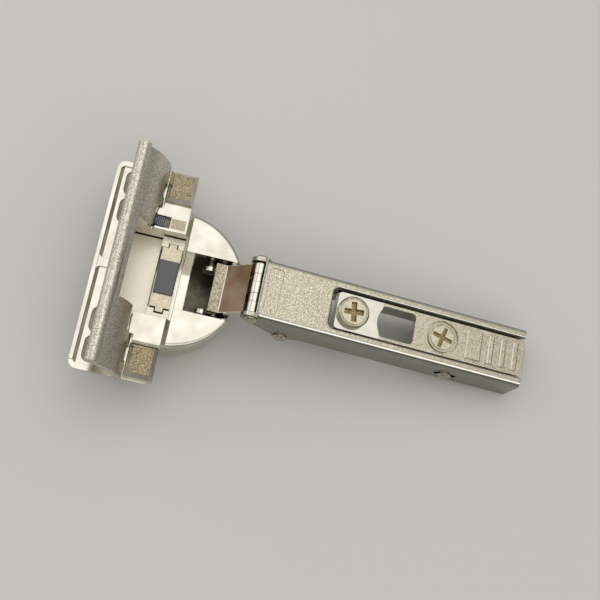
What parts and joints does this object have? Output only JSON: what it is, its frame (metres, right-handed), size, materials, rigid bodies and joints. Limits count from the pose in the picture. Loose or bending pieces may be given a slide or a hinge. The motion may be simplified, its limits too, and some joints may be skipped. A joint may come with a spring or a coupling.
{
  "type": "concealed soft-close cabinet hinge",
  "caption": "Concealed cabinet hinge: round cup with a tool-free fixing flap, folding links and a slotted adjustable arm, with a damper that softens the last of its closing.",
  "frame": {"origin": "centre of the cup at the door face, which is the underside of the flange", "axes": "+Z out of the door along the cup's axis, +X from the cup towards the rear of the open arm, +Y along the flange"},
  "size_m": [0.1158, 0.0588, 0.0282],
  "materials": {
    "satin_nickel": "satin, fine speckle",
    "polished_nickel": "polished",
    "zinc_steel": "bright zinc",
    "grey_plastic": "matte",
    "dowel_nylon": "matte"
  },
  "bodies": {
    "cup": {"hinge_cup": "polished_nickel", "cup_flange": "polished_nickel", "dowel_a": "dowel_nylon", "dowel_b": "dowel_nylon", "flap_pin_a": "zinc_steel", "flap_pin_b": "zinc_steel", "damper_housing": "polished_nickel", "link_pin_a": "zinc_steel", "link_pin_b": "zinc_steel", "cup_pin": "zinc_steel"},
    "flap": {"fixing_flap": "satin_nickel"},
    "claw_a": {"dowel_claw_a": "zinc_steel"},
    "claw_b": {"dowel_claw_b": "zinc_steel"},
    "damper": {"damper_yoke": "zinc_steel", "damper_button": "grey_plastic"},
    "switch": {"damper_switch": "grey_plastic"},
    "outer_link": {"outer_link": "polished_nickel", "link_bush_a": "zinc_steel", "link_bush_b": "zinc_steel"},
    "inner_link": {"inner_link": "polished_nickel"},
    "arm": {"arm_channel": "satin_nickel", "arm_pin_outer": "zinc_steel", "arm_pin_inner": "zinc_steel"},
    "slide_pin": {"carrier_pin": "zinc_steel"},
    "carrier": {"arm_carrier": "satin_nickel", "hook_pin": "zinc_steel", "clip_pin": "zinc_steel"},
    "side_screw": {"side_screw": "zinc_steel"},
    "depth_cam": {"depth_cam": "zinc_steel"},
    "clip": {"clip_lever": "satin_nickel"}
  },
  "joints": [
    {"name": "fold", "type": "hinge", "parent": "cup", "child": "outer_link", "pos_m": [0.00941, 0, -0.00382], "axis": [0, -1, 0], "range_deg": [0, 119.53]},
    {"name": "arm_fold", "type": "hinge", "parent": "outer_link", "child": "arm", "pos_m": [0.02151, 0, 0.00798], "axis": [0, -1, 0], "range_deg": [-24.13, 0.3]},
    {"name": "inner_fold", "type": "hinge", "parent": "cup", "child": "inner_link", "pos_m": [0.0128, 0, -0.0038], "axis": [0, -1, 0], "range_deg": [-0.3, 119.83]},
    {"name": "damper_slide", "type": "slide", "parent": "cup", "child": "damper", "axis": [0, 0, -1], "range_m": [0, 0.00402]},
    {"name": "flap_turn", "type": "hinge", "parent": "cup", "child": "flap", "pos_m": [-0.0079, 0, 0.0029], "axis": [0, -1, 0], "range_deg": [-8, 56]},
    {"name": "claw_a_lift", "type": "slide", "parent": "cup", "child": "claw_a", "axis": [0, 0, 1], "range_m": [-0.00005, 0.00031]},
    {"name": "claw_b_lift", "type": "slide", "parent": "cup", "child": "claw_b", "axis": [0, 0, 1], "range_m": [-0.00005, 0.00031]},
    {"name": "switch_slide", "type": "slide", "parent": "cup", "child": "switch", "axis": [1, 0, 0], "range_m": [0, 0.0013]},
    {"name": "depth_slide", "type": "slide", "parent": "arm", "child": "slide_pin", "axis": [0.9951, 0, -0.0993], "range_m": [-0.0015, 0.002]},
    {"name": "side_tilt", "type": "hinge", "parent": "slide_pin", "child": "carrier", "pos_m": [0.07558, 0, -0.00187], "axis": [0, -1, 0], "range_deg": [-1, 1]},
    {"name": "screw_turn", "type": "hinge", "parent": "carrier", "child": "side_screw", "pos_m": [0.04738, 0, 0.00758], "axis": [0.0993, 0, 0.9951], "range_deg": [-260.43, 260.43]},
    {"name": "cam_turn", "type": "hinge", "parent": "carrier", "child": "depth_cam", "pos_m": [0.07245, 0, 0.00507], "axis": [0.0993, 0, 0.9951], "range_deg": [-135.1, 180.1]},
    {"name": "clip_press", "type": "hinge", "parent": "carrier", "child": "clip", "pos_m": [0.08746, 0, -0.00366], "axis": [0, -1, 0], "range_deg": [0, 10], "stiffness_Nm_per_rad": 0.05, "springref_deg": -5.73}
  ],
  "couplings": [
    {"joint": "arm_fold", "follows": "fold", "ratio": -0.19936},
    {"joint": "inner_fold", "follows": "fold", "ratio": 1},
    {"joint": "damper_slide", "follows": "fold", "m_per_rad": 0.0019174},
    {"joint": "claw_a_lift", "follows": "flap_turn", "m_per_rad": 0.00030694},
    {"joint": "claw_b_lift", "follows": "flap_turn", "m_per_rad": 0.00030694},
    {"joint": "cam_turn", "follows": "depth_slide", "rad_per_m": 1570.8},
    {"joint": "screw_turn", "follows": "side_tilt", "ratio": 260.33}
  ]
}
